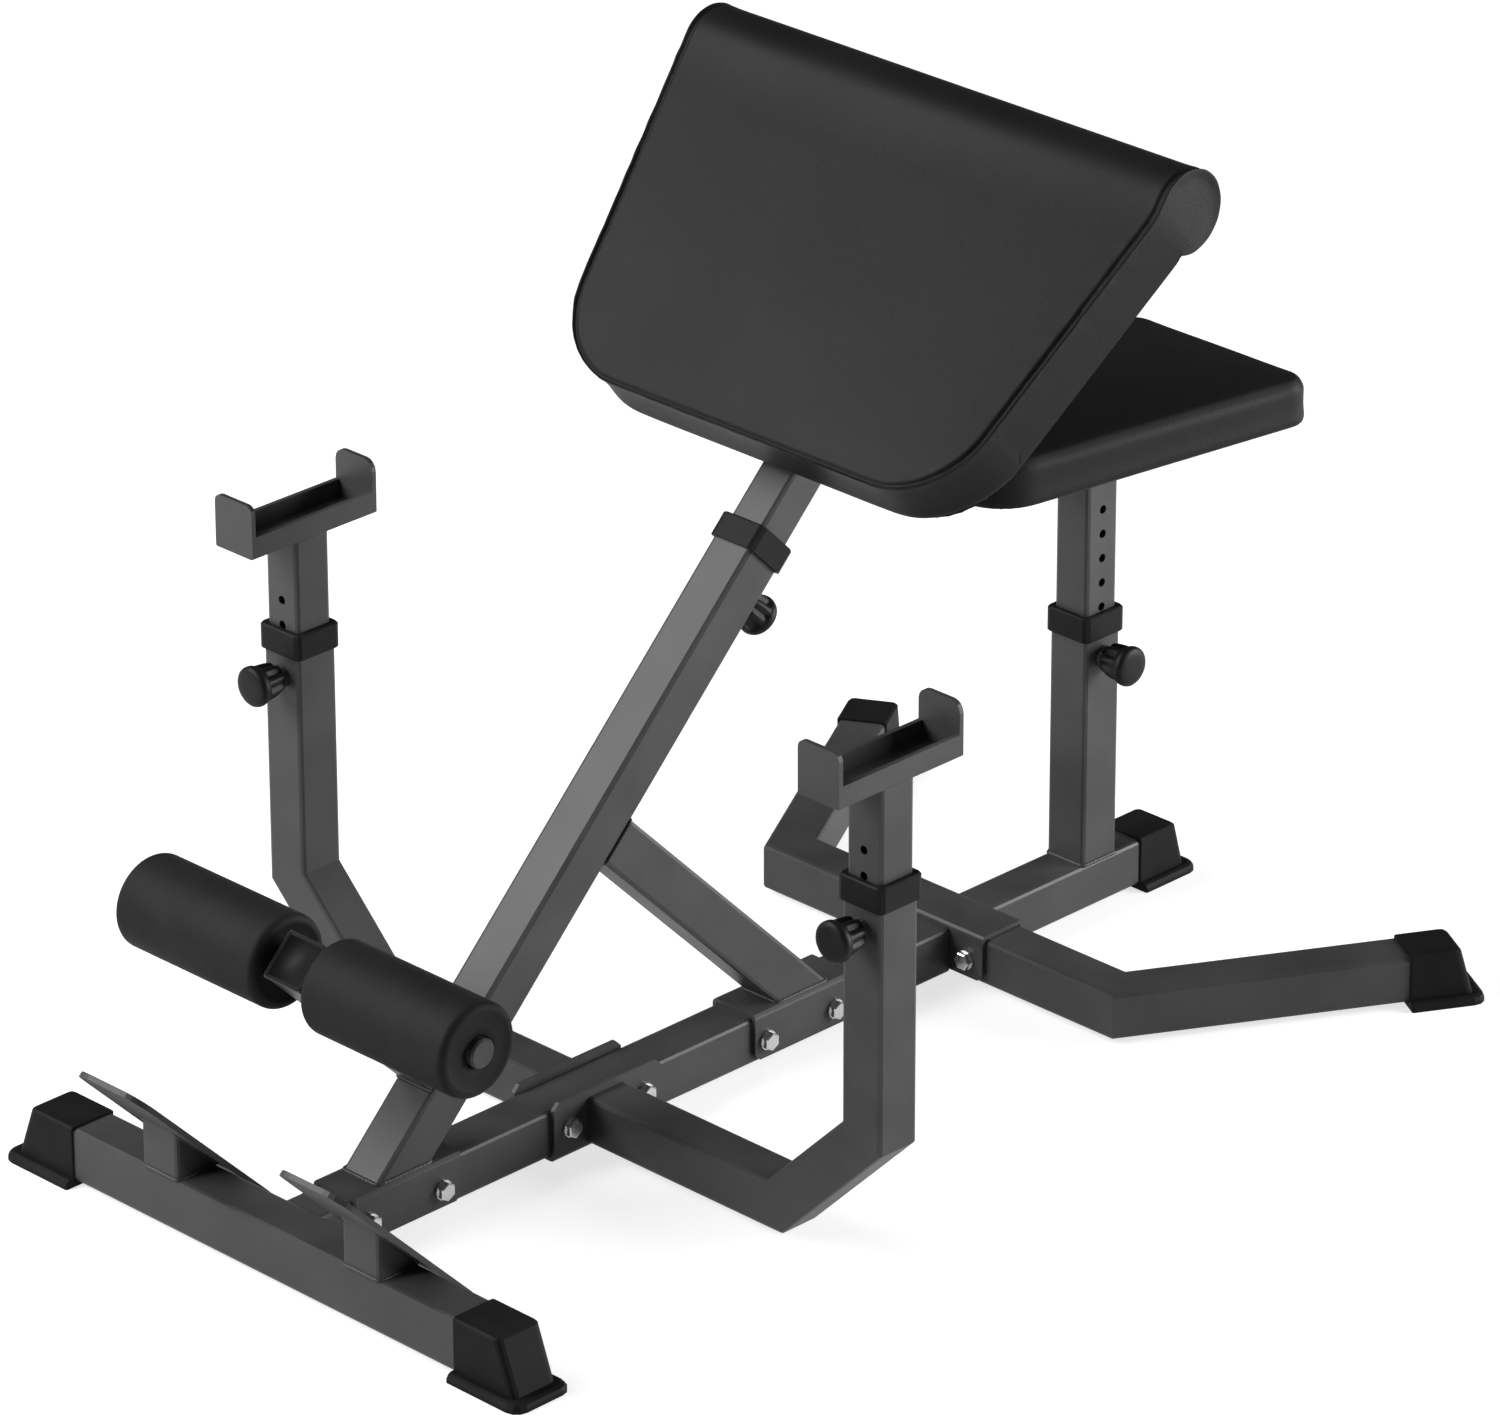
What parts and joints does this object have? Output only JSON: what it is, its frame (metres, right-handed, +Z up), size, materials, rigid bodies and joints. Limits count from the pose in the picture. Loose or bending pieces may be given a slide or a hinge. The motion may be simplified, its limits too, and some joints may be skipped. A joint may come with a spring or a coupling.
{
  "type": "roman chair and preacher bench",
  "caption": "Welded square-tube bench with a slanted arm pad, ankle rollers, adjustable seat and bar cups, each held by a spring pin.",
  "frame": {"origin": "on the floor, under the middle of the bench's length and width", "axes": "+Z up; +Y from the foot plates at the front towards the seat at the rear; +X to the side of the seat's spring pin"},
  "size_m": [0.8866, 1.4018, 0.9501],
  "materials": {
    "front_cross_tube": "charcoal powder coat, satin",
    "front_cap_left": "black moulded plastic",
    "front_cap_right": "black moulded plastic",
    "foot_riser_left": "charcoal powder coat, satin",
    "foot_riser_right": "charcoal powder coat, satin",
    "foot_plate_left": "grey powder coat, satin",
    "foot_plate_right": "grey powder coat, satin",
    "main_beam": "charcoal powder coat, satin",
    "post_saddle": "charcoal powder coat, satin",
    "brace_saddle": "charcoal powder coat, satin",
    "rack_saddle": "charcoal powder coat, satin",
    "post_saddle_bolt_front": "bright zinc plate",
    "post_saddle_bolt_rear": "bright zinc plate",
    "brace_saddle_bolt_front": "bright zinc plate",
    "brace_saddle_bolt_rear": "bright zinc plate",
    "rack_saddle_bolt_front": "bright zinc plate",
    "rack_saddle_bolt_rear": "bright zinc plate",
    "post_tube": "charcoal powder coat, satin",
    "post_collar": "dark grey moulded nylon",
    "brace_tube": "charcoal powder coat, satin",
    "roller_stub": "charcoal powder coat, satin",
    "roller_axle": "turned steel",
    "axle_cap_left": "black moulded plastic",
    "axle_cap_right": "black moulded plastic",
    "rack_tube_left": "charcoal powder coat, satin",
    "rack_tube_right": "charcoal powder coat, satin",
    "rack_collar_left": "dark grey moulded nylon",
    "rack_collar_right": "dark grey moulded nylon",
    "rear_base": "charcoal powder coat, satin",
    "rear_bracket": "charcoal powder coat, satin",
    "rear_bolt_left": "bright zinc plate",
    "rear_bolt_right": "bright zinc plate",
    "rear_beam": "charcoal powder coat, satin",
    "rear_cap_left": "black moulded plastic",
    "rear_cap_right": "black moulded plastic",
    "rear_cap_centre": "black moulded plastic",
    "seat_tube": "charcoal powder coat, satin",
    "seat_collar": "dark grey moulded nylon",
    "seat_inner_tube": "charcoal powder coat, satin",
    "seat_board": "plywood",
    "seat_pad": "black upholstery vinyl, fine grain",
    "pad_inner_tube": "charcoal powder coat, satin",
    "pad_channel_lower": "charcoal powder coat, satin",
    "pad_channel_upper": "charcoal powder coat, satin",
    "pad_board": "plywood",
    "pad_cushion": "black upholstery vinyl, fine grain",
    "rack_inner_left": "charcoal powder coat, satin",
    "bar_cup_left": "charcoal powder coat, satin",
    "rack_inner_right": "charcoal powder coat, satin",
    "bar_cup_right": "charcoal powder coat, satin",
    "seat_pin": "turned steel",
    "seat_knob": "black moulded plastic",
    "pad_pin": "turned steel",
    "pad_knob": "black moulded plastic",
    "rack_left_pin": "turned steel",
    "rack_left_knob": "black moulded plastic",
    "rack_right_pin": "turned steel",
    "rack_right_knob": "black moulded plastic",
    "foam_roller_left": "black closed-cell foam with a skin",
    "foam_roller_right": "black closed-cell foam with a skin"
  },
  "bodies": {
    "frame": {"front_cross_tube": "front_cross_tube", "front_cap_left": "front_cap_left", "front_cap_right": "front_cap_right", "foot_riser_left": "foot_riser_left", "foot_riser_right": "foot_riser_right", "foot_plate_left": "foot_plate_left", "foot_plate_right": "foot_plate_right", "main_beam": "main_beam", "post_saddle": "post_saddle", "brace_saddle": "brace_saddle", "rack_saddle": "rack_saddle", "post_saddle_bolt_front": "post_saddle_bolt_front", "post_saddle_bolt_rear": "post_saddle_bolt_rear", "brace_saddle_bolt_front": "brace_saddle_bolt_front", "brace_saddle_bolt_rear": "brace_saddle_bolt_rear", "rack_saddle_bolt_front": "rack_saddle_bolt_front", "rack_saddle_bolt_rear": "rack_saddle_bolt_rear", "post_tube": "post_tube", "post_collar": "post_collar", "brace_tube": "brace_tube", "roller_stub": "roller_stub", "roller_axle": "roller_axle", "axle_cap_left": "axle_cap_left", "axle_cap_right": "axle_cap_right", "rack_tube_left": "rack_tube_left", "rack_tube_right": "rack_tube_right", "rack_collar_left": "rack_collar_left", "rack_collar_right": "rack_collar_right", "rear_base": "rear_base", "rear_bracket": "rear_bracket", "rear_bolt_left": "rear_bolt_left", "rear_bolt_right": "rear_bolt_right", "rear_beam": "rear_beam", "rear_cap_left": "rear_cap_left", "rear_cap_right": "rear_cap_right", "rear_cap_centre": "rear_cap_centre", "seat_tube": "seat_tube", "seat_collar": "seat_collar"},
    "seat": {"seat_inner_tube": "seat_inner_tube", "seat_board": "seat_board", "seat_pad": "seat_pad"},
    "arm_pad": {"pad_inner_tube": "pad_inner_tube", "pad_channel_lower": "pad_channel_lower", "pad_channel_upper": "pad_channel_upper", "pad_board": "pad_board", "pad_cushion": "pad_cushion"},
    "rack_left": {"rack_inner_left": "rack_inner_left", "bar_cup_left": "bar_cup_left"},
    "rack_right": {"rack_inner_right": "rack_inner_right", "bar_cup_right": "bar_cup_right"},
    "seat_spring_pin": {"seat_pin": "seat_pin", "seat_knob": "seat_knob"},
    "pad_spring_pin": {"pad_pin": "pad_pin", "pad_knob": "pad_knob"},
    "rack_left_spring_pin": {"rack_left_pin": "rack_left_pin", "rack_left_knob": "rack_left_knob"},
    "rack_right_spring_pin": {"rack_right_pin": "rack_right_pin", "rack_right_knob": "rack_right_knob"},
    "roller_left": {"foam_roller_left": "foam_roller_left"},
    "roller_right": {"foam_roller_right": "foam_roller_right"}
  },
  "joints": [
    {"name": "seat_height", "type": "slide", "parent": "frame", "child": "seat", "axis": [0, 0, 1], "range_m": [-0.1602, 0]},
    {"name": "arm_pad_slide", "type": "slide", "parent": "frame", "child": "arm_pad", "axis": [0, 0.7071, 0.7071], "range_m": [-0.0534, 0.1068]},
    {"name": "rack_height_left", "type": "slide", "parent": "frame", "child": "rack_left", "axis": [0, 0, 1], "range_m": [-0.0801, 0.0801]},
    {"name": "rack_height_right", "type": "slide", "parent": "frame", "child": "rack_right", "axis": [0, 0, 1], "range_m": [-0.0801, 0.0801]},
    {"name": "seat_pin_pull", "type": "slide", "parent": "frame", "child": "seat_spring_pin", "axis": [1, 0, 0], "range_m": [0, 0.008], "stiffness_N_per_m": 800, "springref_m": -0.012},
    {"name": "pad_pin_pull", "type": "slide", "parent": "frame", "child": "pad_spring_pin", "axis": [0, 0.7071, -0.7071], "range_m": [0, 0.008], "stiffness_N_per_m": 800, "springref_m": -0.012},
    {"name": "rack_left_pin_pull", "type": "slide", "parent": "frame", "child": "rack_left_spring_pin", "axis": [0, -1, 0], "range_m": [0, 0.008], "stiffness_N_per_m": 800, "springref_m": -0.012},
    {"name": "rack_right_pin_pull", "type": "slide", "parent": "frame", "child": "rack_right_spring_pin", "axis": [0, -1, 0], "range_m": [0, 0.008], "stiffness_N_per_m": 800, "springref_m": -0.012},
    {"name": "roller_left_spin", "type": "hinge", "parent": "frame", "child": "roller_left", "pos_m": [0, -0.56009, 0.29627], "axis": [1, 0, 0], "continuous": true},
    {"name": "roller_right_spin", "type": "hinge", "parent": "frame", "child": "roller_right", "pos_m": [0, -0.56009, 0.29627], "axis": [1, 0, 0], "continuous": true}
  ]
}
